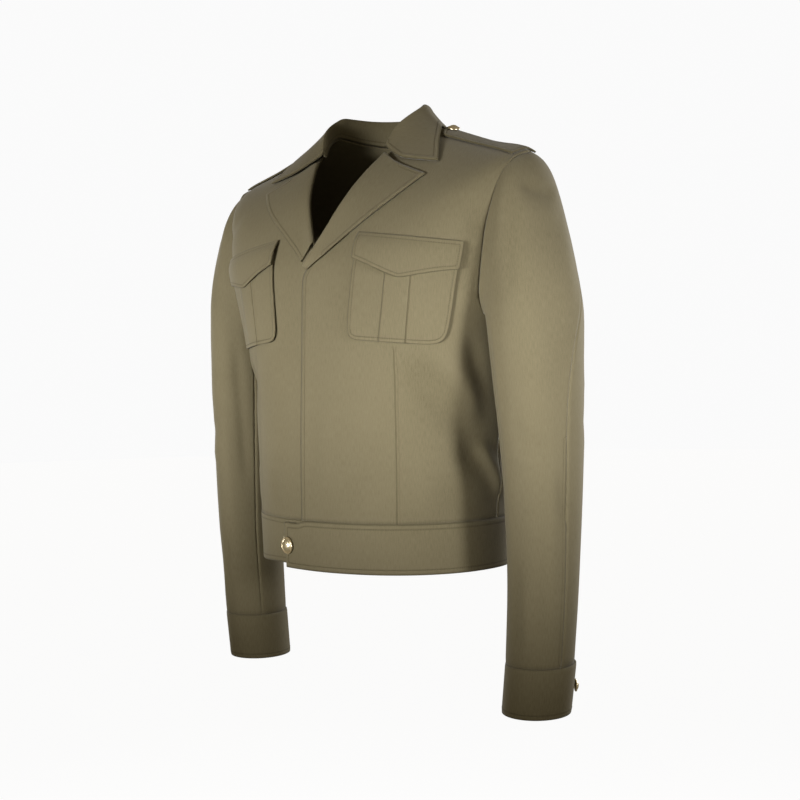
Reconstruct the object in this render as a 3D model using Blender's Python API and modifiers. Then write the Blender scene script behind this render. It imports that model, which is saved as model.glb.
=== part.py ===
"""Waist-length uniform jacket, worn and buttoned, as a hollow of sewn cloth panels.

Metres, +Z up. The front faces -Y and the wearer's left is +X. The origin is level with the
points where the shoulders meet the neck, on the body's upright axis.
"""

from collections import namedtuple
from math import cos, radians, sin

import bpy
import numpy as np
from mathutils import Vector

# Cloth
CLOTH = 0.0020  # wall of a panel
COLLAR_CLOTH = 0.0022  # wall of the collar and the lapels
BAND_CLOTH = 0.0030  # doubled cloth of waistband and cuffs
PATCH_CLOTH = 0.0016  # wall of pockets, flaps and epaulets
SEAM = 0.0004  # space between two sewn pieces
SHOULDER_SEAM = 0.0013  # the same along the shoulders' ridge, where the walls lean together
SLEEVE_SEAM = 0.0019
LAP = 0.0005  # space between two layers
PATCH_LAP = 0.0010  # space under a patch that lies on a panel

# Heights on the body
WAIST_SEAM = -0.455
HEM = -0.513
ARMPIT = -0.235

# Front closing
EDGE = 0.0125  # the left front's edge, past the middle
SINK = 0.0028  # how far the right front lies under the left one

# Sections of the body, from hem to neckline. The heights are at the side, the front and the back
# of each ring, and roundness is 2 for an ellipse and more for a squarer ring.
Ring = namedtuple("Ring", "side_z front_z back_z half_width front back roundness")
BODY = [
    Ring(HEM, HEM, HEM, 0.1645, 0.141, 0.104, 2.10),
    Ring(WAIST_SEAM, WAIST_SEAM, WAIST_SEAM, 0.1650, 0.142, 0.104, 2.15),
    Ring(-0.375, -0.375, -0.375, 0.1690, 0.140, 0.110, 2.20),
    Ring(-0.300, -0.300, -0.300, 0.1750, 0.138, 0.117, 2.30),
    Ring(ARMPIT, ARMPIT, ARMPIT, 0.1880, 0.1355, 0.122, 2.40),
    Ring(-0.175, -0.188, -0.175, 0.2060, 0.1335, 0.125, 2.45),
    Ring(-0.110, -0.158, -0.120, 0.2180, 0.1300, 0.122, 2.50),
    Ring(-0.044, -0.125, -0.070, 0.2210, 0.1180, 0.108, 2.40),
    Ring(-0.025, -0.086, -0.041, 0.1650, 0.1020, 0.092, 2.20),
    Ring(-0.004, -0.056, -0.018, 0.1080, 0.0820, 0.074, 2.05),
    Ring(0.009, -0.032, -0.004, 0.0720, 0.0600, 0.060, 2.00),
]
WAIST_ROW, ARMPIT_ROW, TIP_ROW, NECK_ROW = 1.0, 4.0, 7.14, 10.0
DROP = 1.4  # how late a ring's height turns from the side's to the front's

# The armhole's edge, in degrees from the side towards the front or the back
Hole = namedtuple("Hole", "row angle")
ARMHOLE = [
    Hole(ARMPIT_ROW, 0.0),
    Hole(4.06, 9.0),
    Hole(4.22, 17.0),
    Hole(4.55, 22.0),
    Hole(5.00, 23.8),
    Hole(5.50, 24.8),
    Hole(6.00, 25.2),
    Hole(6.50, 24.0),
    Hole(6.90, 20.5),
    Hole(7.07, 12.5),
    Hole(TIP_ROW, 0.0),
]

# The left front's free edge: straight up to the foot of the lapel, then the roll line
Edge = namedtuple("Edge", "row x")
FRONT_EDGE = [
    Edge(WAIST_ROW, -EDGE),
    Edge(5.90, -EDGE),
    Edge(7.00, 0.008),
    Edge(8.00, 0.028),
    Edge(9.00, 0.043),
    Edge(9.40, 0.052),
    Edge(NECK_ROW, 0.058),
]

# Sections of a sleeve below the arm, wearer's left. Front and back are the sleeve's own edges,
# lean shifts the front edge towards the body, and rise lifts the outer side.
Arm = namedtuple("Arm", "z inner outer front back lean rise")
SLEEVE = [
    Arm(-0.262, 0.1865, 0.2775, -0.0735, 0.0585, 0.12, 0.045),
    Arm(-0.310, 0.1880, 0.2775, -0.0700, 0.0530, 0.08, 0.022),
    Arm(-0.380, 0.1910, 0.2785, -0.0640, 0.0450, 0.04, 0.006),
    Arm(-0.490, 0.1940, 0.2740, -0.0580, 0.0330, 0.02, 0.0),
    Arm(-0.560, 0.1900, 0.2685, -0.0565, 0.0300, 0.00, 0.0),
    Arm(-0.608, 0.1868, 0.2638, -0.0560, 0.0280, 0.00, 0.0),
]
CUFF_SEAM = -0.608
CUFF_HEM = -0.665

# Under the left front, the right one lies flat this far past the middle and then rises
SINK_FLAT = 0.018
SINK_EASE = 0.035

# Lapels, seen from the front: across and height
LAPEL_FOOT = 5.95
LAPEL_CROSSING = 6.78
GORGE_ROW = 9.3
GORGE_IN = (0.0525, -0.0310)
LAPEL_FOOT_LEFT = (-0.0050, -0.1660)
LAPEL_FOOT_RIGHT = (0.0180, -0.1555)
LAPEL_EDGE = [
    (0.030, -0.143),
    (0.054, -0.124),
    (0.078, -0.106),
    (0.102, -0.088),
    (0.127, -0.064),
]
LAPEL_NOTCH = (0.0770, -0.0455)
LAPEL_ROWS = 13
LAPEL_SHARES = np.array([0.0, 0.14, 0.32, 0.55, 0.78, 1.0])
LAPEL_LEVEL = PATCH_LAP + COLLAR_CLOTH
ROLL_HEIGHT = 0.0055
ROLL_TUCK = 0.0076

# Collar: its front end, seen from the front, and its sections round the neck
COLLAR_NOTCH = (0.0745, -0.0415)
COLLAR_TIP = (0.1325, -0.0490)
Station = namedtuple("Station", "angle seam_row stand lean edge_angle edge_row edge_out")
COLLAR = [
    Station(-50, 9.75, 0.006, 0.004, -30.5, 8.30, 0.0040),
    Station(-40, 9.95, 0.017, 0.005, -24.0, 8.62, 0.0050),
    Station(-28, 10.0, 0.022, 0.002, -14.0, 8.95, 0.0065),
    Station(0, 10.0, 0.026, -0.007, 2.0, 9.45, 0.0050),
    Station(30, 10.0, 0.030, -0.009, 28.0, 9.42, 0.0040),
    Station(60, 10.0, 0.034, -0.003, 58.0, 9.20, 0.0040),
    Station(90, 10.0, 0.036, 0.001, 90.0, 9.00, 0.0040),
]
COLLAR_ANGLES = [-50, -45, -39, -32, -22, -11, 0, 15, 30, 45, 60, 75, 90]
COLLAR_ROWS = 6
COLLAR_SEAM = 0.0013
COLLAR_FALL = 1.05
FOLD_RADIUS = 0.0032
UP = np.array([0.0, 0.0, 1.0])

# Sleeves
SLEEVE_ROWS = [0.0, 0.5, 1.0, 1.5, 2.0, 2.5, 3.0, 3.5, 4.0, 5.0]
HEAD_SHARES = (0.12, 0.26, 0.42, 0.6, 0.8)
HEAD_OUT = np.array([1.0, 0.0, -0.3])
HEAD_SPRING = 0.4
HEAD_DROP = 0.62
HEAD_FORWARD = 0.009  # how far the outer side of the sleeve's head leans to the front
SLEEVE_TWIST = -70.0  # how far the hind seam turns outwards on its way to the wrist
TWIST_START = 0.5  # its share at the armpit
TWIST_ROWS = 2.2  # how many sections further it is complete
HIND_SEAM = 3
FORE_SEAM = 12

# Waistband
BAND_OUT = 0.0012
BAND_SINK = BAND_CLOTH + LAP
TAB_TURNS = np.linspace(-104.0, -84, 8)
TAB_STEP = -92.0  # where the tab's upper edge steps down
TAB_EASE = 3.0
TAB_DROP = 0.0040
BAND_TURNS = np.linspace(-80, 250, 34)
BAND_END_TURNS = np.linspace(258, 283, 4)
BAND_UNDER = 225.0  # where the other end starts to go under
BAND_EASE = 25.0
BAND_RISE = 0.004
BAND_SHARES = (0.0, 0.5, 1.0)

# Cuffs: their lower and upper sections
CUFF = [
    Arm(CUFF_HEM, 0.1800, 0.2580, -0.0560, 0.0270, 0.0, 0.0),
    Arm(CUFF_SEAM - SEAM, 0.1862, 0.2648, -0.0568, 0.0288, 0.0, 0.0),
]
CUFF_START = 32.0  # the free end's angle, on the outer side towards the back
CUFF_LAP = 26.0
CUFF_SINK_START = 6.0
CUFF_SINK_EASE = 40.0
CUFF_COLUMNS = 25
CUFF_BUTTON = 44.0

# How far each hand hangs out, back and up from the sleeve's own line
HANG = {"left": (0.0040, 0.0030, -0.0040), "right": (0.0, 0.0, 0.0050)}

# Chest pockets and flaps, seen from the front: inner and outer lower corners, then upper ones
POCKET = [(0.055, -0.2470), (0.1570, -0.2560), (0.0660, -0.142), (0.1815, -0.158)]
POCKET_CORNER = 0.013
POCKET_UPS = [0.0, 0.0015, 0.005, 0.013, 0.035, 0.06, 0.083, 0.1055]
PLEAT = (0.385, 0.665)
PLEAT_RISE = 0.0012
POCKET_COLUMNS = [
    (0.0, 0), (0.14, 0), (0.27, 0), (0.378, 0), (0.392, 1), (0.525, 1),
    (0.658, 1), (0.672, 0), (0.78, 0), (0.89, 0), (1.0, 0),
]
FLAP = [(0.0640, -0.1570), (0.1785, -0.1730), (0.0635, -0.1265), (0.1860, -0.1430)]
FLAP_POINT = 0.0165
FLAP_RISE = 0.0036
FLAP_EASE = 0.35
FLAP_UPS = [0.0, 0.3, 0.6, 0.8, 0.9, 1.0]

# Epaulets
EPAULET_CLOTH = 0.0022
EPAULET_LEVEL = 0.0034
EPAULET_WIDE = 0.2150
EPAULET_END = 0.1000
EPAULET_POINT = 0.0130
EPAULET_HALF = 0.0220
EPAULET_TAPER = 0.0040
EPAULET_BLUNT = 0.12
EPAULET_MIDDLE = -0.0045
EPAULET_XS = (0.2150, 0.207, 0.196, 0.182, 0.166, 0.150, 0.135, 0.122, 0.1130, 0.1065, 0.1000)
EPAULET_BUTTON = 0.1130

# Buttons: their radii, and a profile in radii from the top of the dome to the foot of the shank
WAIST_BUTTON = 0.0102
SMALL_BUTTON = 0.0072
SHANK = 0.0022
BUTTON_LIFT = 0.0003
BUTTON_STEPS = 16
MERGE = 0.00002
BUTTON_PROFILE = [
    (0.0, 0.36),
    (0.34, 0.33),
    (0.66, 0.24),
    (0.86, 0.12),
    (0.95, 0.14),
    (1.0, 0.08),
    (0.97, 0.0),
    (0.30, -0.04),
    (0.26, 0.0),
    (0.0, 0.0),
]
BUTTON_X = -0.0365
BUTTON_HEIGHT = -0.4815

FRONT_COLUMNS = 12
BACK_COLUMNS = 18

MATERIALS = {
    "serge": ((0.150, 0.125, 0.070, 1.0), 0.85, 0.0),
    "brass": ((0.750, 0.600, 0.300, 1.0), 0.35, 1.0),
}


def smooth_row(table, at):
    """The columns of a table at a row that need not be whole, smooth through its rows."""
    last = len(table) - 1
    low = int(min(max(at, 0.0), last - 1e-9))
    t = at - low
    rows = [np.array(table[min(max(low + step, 0), last)], float) for step in (-1, 0, 1, 2)]
    into = (rows[2] - rows[0]) / 2
    away = (rows[3] - rows[1]) / 2
    return (
        rows[1] * (2 * t**3 - 3 * t**2 + 1)
        + into * (t**3 - 2 * t**2 + t)
        + rows[2] * (3 * t**2 - 2 * t**3)
        + away * (t**3 - t**2)
    )


def between(table, column, at):
    """A column of a table whose first column is the place, straight between its rows."""
    return float(np.interp(at, [row[0] for row in table], [row[column] for row in table]))


def signed_power(value, power):
    return np.sign(value) * abs(value) ** power


def body(row, angle):
    """A point of the body's outer face. The angle is 0 at the wearer's left side, -90 in front."""
    ring = Ring(*smooth_row(BODY, row))
    c, s = cos(radians(angle)), sin(radians(angle))
    power = 2 / ring.roundness
    depth, height = (ring.back, ring.back_z) if s > 0 else (ring.front, ring.front_z)
    share = abs(s) ** DROP
    return np.array(
        [
            ring.half_width * signed_power(c, power),
            depth * signed_power(s, power),
            ring.side_z + (height - ring.side_z) * share,
        ]
    )


def body_normal(row, angle):
    across = body(row, angle + 0.5) - body(row, angle - 0.5)
    up = body(min(row + 0.02, NECK_ROW), angle) - body(row - 0.02, angle)
    normal = np.cross(across, up)
    return normal / np.linalg.norm(normal)


def off_body(row, angle, out=0.0):
    return body(row, angle) + out * body_normal(row, angle)


def angle_at_x(row, x):
    """The angle in front where a ring passes a distance across the body."""
    ring = Ring(*smooth_row(BODY, row))
    share = min(abs(x) / ring.half_width, 1.0) ** (ring.roundness / 2)
    turn = np.degrees(np.arccos(share))
    return -turn if x >= 0 else turn - 180


def front_place(x, z):
    """The row and angle of the front's point at a distance across and a height."""
    low, high = 0.0, NECK_ROW
    for _ in range(30):
        row = (low + high) / 2
        if body(row, angle_at_x(row, x))[2] < z:
            low = row
        else:
            high = row
    return row, angle_at_x(row, x)


def on_front(x, z, out=0.0):
    return off_body(*front_place(x, z), out)


def collection(name):
    made = bpy.data.collections.new(name)
    bpy.context.scene.collection.children.link(made)
    return made


def own_material(name, kind):
    colour, roughness, metallic = MATERIALS[kind]
    made = bpy.data.materials.new(name + "_" + kind)
    made.use_nodes = True
    shader = made.node_tree.nodes["Principled BSDF"]
    shader.inputs["Base Color"].default_value = colour
    shader.inputs["Roughness"].default_value = roughness
    shader.inputs["Metallic"].default_value = metallic
    return made


def new_object(name, mesh, kind):
    made = bpy.data.objects.new(name, mesh)
    made.data.materials.append(own_material(name, kind))
    parts.objects.link(made)
    return made


def flat_mesh(name, points, faces, mirror):
    """A mesh whose faces point out, on the wearer's right side where mirror is set."""
    points = np.array(points, float).reshape(-1, 3)
    if mirror:
        points = points * [-1, 1, 1]
        faces = [face[::-1] for face in faces]
    mesh = bpy.data.meshes.new(name)
    mesh.from_pydata([tuple(point) for point in points], [], faces)
    mesh.validate()
    mesh.shade_smooth()
    return mesh


def grid_faces(rows, columns, closed=False):
    """Faces of a grid of points, whose columns run to the right as rows run up."""
    wrap = columns if closed else columns - 1
    return [
        (
            r * columns + c,
            r * columns + (c + 1) % columns,
            (r + 1) * columns + (c + 1) % columns,
            (r + 1) * columns + c,
        )
        for r in range(rows - 1)
        for c in range(wrap)
    ]


def cloth(name, grid, wall, mirror=False, closed=False, kind="serge"):
    """A wall of cloth under a grid of points of its outer face."""
    grid = np.array(grid, float)
    rows, columns = grid.shape[:2]
    mesh = flat_mesh(name, grid, grid_faces(rows, columns, closed), mirror)
    made = new_object(name, mesh, kind)
    solid = made.modifiers.new("wall", "SOLIDIFY")
    solid.thickness = wall
    solid.offset = -1
    solid.use_even_offset = False
    solid.use_quality_normals = True
    return made


def spaced(*stops):
    """Values through stops, each given with the number of steps that lead to it."""
    values = [stops[0]]
    for steps, stop in stops[1:]:
        values += list(np.linspace(values[-1], stop, steps + 1)[1:])
    return values


# Rows shared by the front and back panels
ROWS_BELOW = spaced(WAIST_ROW, (6, ARMPIT_ROW))[:-1]
ROWS_BESIDE = [hole.row for hole in ARMHOLE]
ROWS_ABOVE = spaced(TIP_ROW, (2, 7.6), (5, NECK_ROW))[1:]
PANEL_ROWS = ROWS_BELOW + ROWS_BESIDE + ROWS_ABOVE


def armhole_angle(row):
    return between(ARMHOLE, 1, row) if ARMPIT_ROW < row < TIP_ROW else 0.0


def seam_angle(row):
    """Half the space of a side or shoulder seam, as an angle on this ring."""
    space = SHOULDER_SEAM if row > TIP_ROW else SEAM
    return np.degrees(space / 2 / Ring(*smooth_row(BODY, row)).front)


def ease(value):
    value = np.clip(value, 0, 1)
    return value * value * (3 - 2 * value)


def sink(x):
    """How far the right front lies under its own surface, near the closing."""
    return SINK * (1 - ease((x - SINK_FLAT) / SINK_EASE))


def roll_tuck(row):
    """How far the panel ends inside the lapel's fold."""
    return ROLL_TUCK * np.clip((row - LAPEL_FOOT + 0.25) / 0.25, 0, 1)


def front_panel(name, mirror):
    """From the free edge round to the side seam, the armhole and the shoulder seam."""
    grid = []
    for row in PANEL_ROWS:
        first = angle_at_x(row, between(FRONT_EDGE, 1, row) + roll_tuck(row))
        last = -armhole_angle(row) - seam_angle(row)
        line = []
        for angle in np.linspace(first, last, FRONT_COLUMNS):
            down = sink(body(row, angle)[0]) if mirror else 0.0
            line.append(off_body(row, angle, -down))
        grid.append(line)
    return cloth(name, grid, CLOTH, mirror)


def back_panel():
    grid = []
    for row in PANEL_ROWS:
        first = armhole_angle(row) + seam_angle(row)
        grid.append([body(row, angle) for angle in np.linspace(first, 180 - first, BACK_COLUMNS)])
    return cloth("back", grid, CLOTH)


def along(points, shares):
    """Points at shares of the length of a line through points."""
    points = np.array(points, float)
    lengths = np.linalg.norm(np.diff(points, axis=0), axis=1)
    at = np.concatenate([[0], np.cumsum(lengths)]) / lengths.sum()
    return np.stack([np.interp(shares, at, points[:, axis]) for axis in range(points.shape[1])], -1)


def roll_line(first_row):
    """The fold of a lapel seen from the front, from its foot to the gorge."""
    rows = np.linspace(first_row, GORGE_ROW, 12)
    line = [body(row, angle_at_x(row, between(FRONT_EDGE, 1, row))) for row in rows]
    return [(point[0], point[2]) for point in line] + [GORGE_IN]


def lapel(name, mirror):
    """The front turned back at the roll line: a round fold, then a leaf that lies on the chest."""
    roll = along(roll_line(LAPEL_CROSSING if mirror else LAPEL_FOOT), np.linspace(0, 1, LAPEL_ROWS))
    outline = [LAPEL_FOOT_RIGHT if mirror else LAPEL_FOOT_LEFT] + LAPEL_EDGE
    outer = along(outline, np.linspace(0, 1, LAPEL_ROWS))
    top = along([roll[-1], LAPEL_NOTCH, LAPEL_EDGE[-1]], LAPEL_SHARES)
    radius = (ROLL_HEIGHT + CLOTH) / 2
    grid = []
    for step in range(LAPEL_ROWS):
        up = step / (LAPEL_ROWS - 1)
        start, end = roll[step], outer[step]
        inward = (end - start) / np.linalg.norm(end - start)
        centre = start + inward * radius
        line = []
        for turn in (-90, -50, -10, 30):
            place = centre - inward * radius * cos(radians(turn))
            line.append((place, ROLL_HEIGHT - radius + radius * sin(radians(turn))))
        straight = roll[-1] + (outer[-1] - roll[-1]) * LAPEL_SHARES[:, None]
        for share, bent, plain in zip(LAPEL_SHARES, top, straight):
            place = centre + (end - centre) * share + (bent - plain) * up**4
            level = LAPEL_LEVEL + (ROLL_HEIGHT - LAPEL_LEVEL) * (1 - share) ** 2
            line.append((place, level))
        grid.append(
            [on_front(x, z, level - (sink(x) if mirror else 0.0)) for (x, z), level in line]
        )
    return cloth(name, grid, COLLAR_CLOTH, mirror)


def collar():
    """A stand that rises from the neckline, folds over and falls on to the shoulders."""
    notch = front_place(*COLLAR_NOTCH)
    tip = front_place(*COLLAR_TIP)
    stations = []
    for angle in COLLAR_ANGLES:
        at = Station(*[between(COLLAR, column, angle) for column in range(len(COLLAR[0]))])
        seam = body(at.seam_row, angle)
        out = body_normal(at.seam_row, angle)
        flat = np.array([out[0], out[1], 0]) / np.hypot(out[0], out[1])
        fold = seam + flat * at.lean + UP * at.stand
        shares = np.linspace(1, 0, COLLAR_ROWS)
        if angle == COLLAR_ANGLES[0]:
            route = along([(at.seam_row, angle), notch, tip], shares)
        else:
            route = along([(at.seam_row, angle), (at.edge_row, at.edge_angle)], shares)
        base = off_body(at.seam_row, angle, at.edge_out)
        line = []
        for share, (row, turn) in zip(shares, route):
            on_body = off_body(row, turn, at.edge_out)
            line.append(on_body + (fold - base) * (1 - share) ** COLLAR_FALL)
        line[-1] = fold + flat * FOLD_RADIUS - UP * FOLD_RADIUS
        line.append(fold)
        line.append(fold - flat * FOLD_RADIUS - UP * FOLD_RADIUS)
        foot = seam - flat * COLLAR_CLOTH + UP * COLLAR_SEAM
        line.append((line[-1] + foot) / 2)
        line.append(foot)
        stations.append(line)
    mirrored = [[point * [-1, 1, 1] for point in line] for line in stations[-2::-1]]
    grid = np.array(stations + mirrored).transpose(1, 0, 2)
    return cloth("collar", grid, COLLAR_CLOTH)


def arm_point(arm, turn, out=0.0):
    """A point of a sleeve's section. The angle is 0 on the outer side and 90 at the back."""
    c, s = cos(radians(turn)), sin(radians(turn))
    across, deep = (arm.outer - arm.inner) / 2 + out, (arm.back - arm.front) / 2 + out
    return np.array(
        [
            (arm.outer + arm.inner) / 2 + across * c + arm.lean * deep * min(s, 0.0),
            (arm.front + arm.back) / 2 + deep * s,
            arm.z + arm.rise * (1 + c) / 2,
        ]
    )


def armhole_ring():
    """Points of the armhole: from the shoulder down its back, and up its front."""
    back = [body(hole.row, hole.angle) for hole in ARMHOLE[::-1]]
    front = [body(hole.row, -hole.angle) for hole in ARMHOLE[1:-1]]
    return np.array(back + front) + [SEAM, 0, 0]


def sleeve_turns(ring):
    """The angle of each lengthwise line of the sleeve, by its share of the armhole."""
    steps = np.linalg.norm(np.roll(ring, -1, axis=0) - ring, axis=1)
    half = len(ring) // 2
    back = np.concatenate([[0], np.cumsum(steps[:half])])
    front = np.concatenate([[0], np.cumsum(steps[half:])])
    return np.concatenate([180 * back / back[-1], 180 + 180 * front[1:-1] / front[-1]])


def sleeve_grid(hang):
    """Rings from the cuff up to the armhole, moved by the hand's own hang."""
    ring = armhole_ring()
    turns = sleeve_turns(ring)
    twist = SLEEVE_TWIST * (1 + np.cos(np.radians(turns - turns[HIND_SEAM]))) / 2
    rings = []
    for at in SLEEVE_ROWS:
        arm = Arm(*smooth_row(SLEEVE, at))
        share = TWIST_START + (1 - TWIST_START) * np.sin(min(at / TWIST_ROWS, 1) * np.pi / 2)
        moved = np.array(hang) * ease(at / (len(SLEEVE) - 1))
        rings.append([arm_point(arm, turn) + moved for turn in turns + twist * share])
    top = np.array(rings[0])
    down = np.array(rings[1]) - top
    down /= np.linalg.norm(down, axis=1)[:, None]
    head = []
    for share in HEAD_SHARES:
        length = np.linalg.norm(top - ring, axis=1)[:, None]
        leave = length * HEAD_SPRING * HEAD_OUT
        arrive = length * HEAD_DROP * down
        bulge = 4 * share * (1 - share) * np.maximum(np.cos(np.radians(turns)), 0)
        head.append(
            np.outer(bulge, (0, -HEAD_FORWARD, 0))
            + ring * (2 * share**3 - 3 * share**2 + 1)
            + leave * (share**3 - 2 * share**2 + share)
            + top * (3 * share**2 - 2 * share**3)
            + arrive * (share**3 - share**2)
        )
    return np.array([ring] + head + rings)[::-1]


def sleeve(side, mirror):
    grid = sleeve_grid(HANG[side])
    count = grid.shape[1]
    for piece, first, last in (
        ("top", FORE_SEAM, HIND_SEAM + count),
        ("under", HIND_SEAM, FORE_SEAM),
    ):
        columns = [grid[:, column % count] for column in range(first, last + 1)]
        lines = np.array(columns)
        for edge, other in ((0, 1), (-1, -2)):
            inward = lines[other] - lines[edge]
            lines[edge] += inward / np.linalg.norm(inward, axis=1)[:, None] * SLEEVE_SEAM / 2
        cloth(f"sleeve_{piece}_{side}", lines.transpose(1, 0, 2), CLOTH, mirror)


def waistband():
    """Doubled cloth round the hips, whose left end is a tab that laps over the right one."""
    turns = np.concatenate([TAB_TURNS, BAND_TURNS, BAND_END_TURNS])
    grid = []
    for share in BAND_SHARES:
        line = []
        for turn in turns:
            under = ease((turn - BAND_UNDER) / BAND_EASE)
            tab = ease((TAB_STEP - turn) / TAB_EASE)
            low = HEM + BAND_RISE * under
            high = WAIST_SEAM - SEAM - TAB_DROP * tab
            height = low + (high - low) * share
            row = (height - HEM) / (WAIST_SEAM - HEM)
            point = off_body(row, turn, BAND_OUT - BAND_SINK * under)
            point[2] = height
            line.append(point)
        grid.append(line)
    return cloth("waistband", grid, BAND_CLOTH)


def cuff(side, mirror):
    """Doubled cloth round the wrist, lapped at the back of the arm."""
    turns = np.linspace(CUFF_START, CUFF_START + 360 + CUFF_LAP, CUFF_COLUMNS)
    grid = []
    for share in BAND_SHARES:
        arm = Arm(*[low + (high - low) * share for low, high in zip(CUFF[0], CUFF[1])])
        line = []
        for turn in turns:
            under = 1 - ease((turn - CUFF_START - CUFF_LAP - CUFF_SINK_START) / CUFF_SINK_EASE)
            line.append(arm_point(arm, turn, -BAND_SINK * under) + HANG[side])
        grid.append(line)
    return cloth("cuff_" + side, grid, BAND_CLOTH, mirror)


def pocket(side, mirror):
    """A patch with round lower corners and a raised pleat down its middle."""
    low_in, low_out, high_in, high_out = [np.array(corner) for corner in POCKET]
    height = np.linalg.norm(high_in - low_in)
    grid = []
    for up in POCKET_UPS:
        share = up / height
        start = low_in + (high_in - low_in) * share
        end = low_out + (high_out - low_out) * share
        across = (end - start) / np.linalg.norm(end - start)
        left = max(POCKET_CORNER - up, 0.0)
        inset = POCKET_CORNER - np.sqrt(POCKET_CORNER**2 - left**2)
        line = []
        for column, raised in POCKET_COLUMNS:
            place = start + (end - start) * column
            edge = 1 - min(column, 1 - column) / PLEAT[0]
            place = place + across * inset * max(edge, 0) * (1 if column < 0.5 else -1)
            line.append(on_front(*place, PATCH_LAP + PATCH_CLOTH + PLEAT_RISE * raised))
        grid.append(line)
    return cloth("pocket_" + side, grid, PATCH_CLOTH, mirror)


def flap(side, mirror):
    """Sewn down along its top over the pocket's mouth, and cut to a point in the middle."""
    low_in, low_out, high_in, high_out = [np.array(corner) for corner in FLAP]
    grid = []
    for up in FLAP_UPS:
        line = []
        for column in np.linspace(0, 1, 9):
            bottom = low_in + (low_out - low_in) * column
            bottom = bottom - [0, FLAP_POINT * (1 - abs(2 * column - 1)) ** 1.2]
            top = high_in + (high_out - high_in) * column
            level = PATCH_LAP + PATCH_CLOTH + FLAP_RISE * ease((1 - up) / FLAP_EASE)
            line.append(on_front(*(bottom + (top - bottom) * up), level))
        grid.append(line)
    return cloth("flap_" + side, grid, PATCH_CLOTH, mirror)


def angle_at_y(row, y):
    ring = Ring(*smooth_row(BODY, row))
    depth = ring.back if y > 0 else ring.front
    return np.degrees(np.arcsin(min(abs(y) / depth, 1.0) ** (ring.roundness / 2))) * np.sign(y)


def row_at_side(x):
    """The row of the shoulder line at a distance from the middle."""
    rows = np.linspace(TIP_ROW, NECK_ROW, 60)
    widths = [body(row, 0.0)[0] for row in rows]
    return float(np.interp(-x, [-width for width in widths], rows))


def epaulet(side, mirror):
    """A strap from the armhole seam to beside the collar, with a pointed end."""
    grid = []
    for x in EPAULET_XS:
        row = row_at_side(x)
        near = ease((EPAULET_WIDE - x) / 0.05)
        half = EPAULET_HALF - EPAULET_TAPER * near
        to_end = (x - EPAULET_END) / EPAULET_POINT
        half = half * min(1.0, EPAULET_BLUNT + (1 - EPAULET_BLUNT) * to_end)
        middle = EPAULET_MIDDLE * half / EPAULET_HALF
        front, back = middle - half, middle + half
        turns = [angle_at_y(row, y) for y in (front, front / 2, 0.0, back / 2, back)]
        grid.append([off_body(row, turn, EPAULET_LEVEL) for turn in turns])
    return cloth("epaulet_" + side, grid, EPAULET_CLOTH, mirror)


def button(name, radius, seat, facing, mirror=False):
    """A domed button on a shank: a turned profile that stands on the cloth."""
    mesh = bpy.data.meshes.new(name)
    points = [(radius * out, 0, radius * up + SHANK) for out, up in BUTTON_PROFILE[:-2]]
    points += [(radius * out, 0, 0) for out, _ in BUTTON_PROFILE[-2:]]
    mesh.from_pydata(points, [(step, step + 1) for step in range(len(points) - 1)], [])
    made = new_object(name, mesh, "brass")
    turned = made.modifiers.new("turned", "SCREW")
    turned.steps = BUTTON_STEPS
    turned.render_steps = BUTTON_STEPS
    turned.use_merge_vertices = True
    turned.merge_threshold = MERGE
    flip = np.array([-1.0 if mirror else 1.0, 1.0, 1.0])
    made.rotation_euler = Vector(facing * flip).to_track_quat("Z", "Y").to_euler()
    made.location = seat * flip
    return made


for old in list(bpy.data.objects):
    bpy.data.objects.remove(old, do_unlink=True)
parts = collection("ike_jacket")

back_panel()
collar()
waistband()
for side, mirror in (("left", False), ("right", True)):
    front_panel("front_" + side, mirror)
    lapel("lapel_" + side, mirror)
    sleeve(side, mirror)
    cuff(side, mirror)
    pocket(side, mirror)
    flap(side, mirror)
    epaulet(side, mirror)
    row = row_at_side(EPAULET_BUTTON)
    turn = angle_at_y(row, EPAULET_MIDDLE)
    seat = off_body(row, turn, EPAULET_LEVEL + BUTTON_LIFT)
    button("button_epaulet_" + side, SMALL_BUTTON, seat, body_normal(row, turn), mirror)
    wrist = Arm(*[(low + high) / 2 for low, high in zip(CUFF[0], CUFF[1])])
    seat = arm_point(wrist, CUFF_BUTTON, BUTTON_LIFT) + HANG[side]
    facing = arm_point(wrist, CUFF_BUTTON, 0.01) - arm_point(wrist, CUFF_BUTTON)
    button("button_cuff_" + side, SMALL_BUTTON, seat, facing, mirror)

row = (BUTTON_HEIGHT - HEM) / (WAIST_SEAM - HEM)
turn = angle_at_x(row, BUTTON_X)
button("button_waist", WAIST_BUTTON, off_body(row, turn, BAND_OUT + BUTTON_LIFT), body_normal(row, turn))
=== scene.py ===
import math

import bpy
import numpy as np
from mathutils import Matrix, Vector
from mathutils.kdtree import KDTree


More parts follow.
